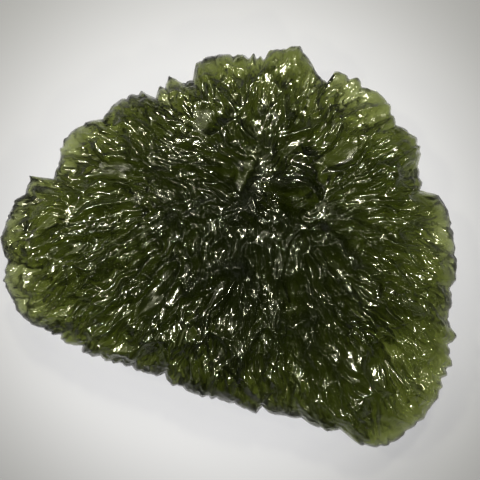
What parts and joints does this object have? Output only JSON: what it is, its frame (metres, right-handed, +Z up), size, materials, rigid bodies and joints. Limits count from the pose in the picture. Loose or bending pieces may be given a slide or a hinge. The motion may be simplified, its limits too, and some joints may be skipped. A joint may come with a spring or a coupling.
{
  "type": "moldavite",
  "caption": "Flat, deeply grooved piece of see-through bottle-green natural glass with a thin ragged rim, lying on a small flat spot of its back.",
  "frame": {"origin": "middle of the outline, on the surface that the stone lies on", "axes": "+X to the right of the stone seen from above, along its longest extent, +Y to its top, +Z up, out of its best face"},
  "size_m": [0.042, 0.0366, 0.0113],
  "materials": {
    "green_glass": "bottle-green natural glass, glossy skin with many small glints, see-through at the thin rim and dark in the middle"
  },
  "bodies": {
    "root": {"moldavite": "green_glass"}
  },
  "joints": []
}
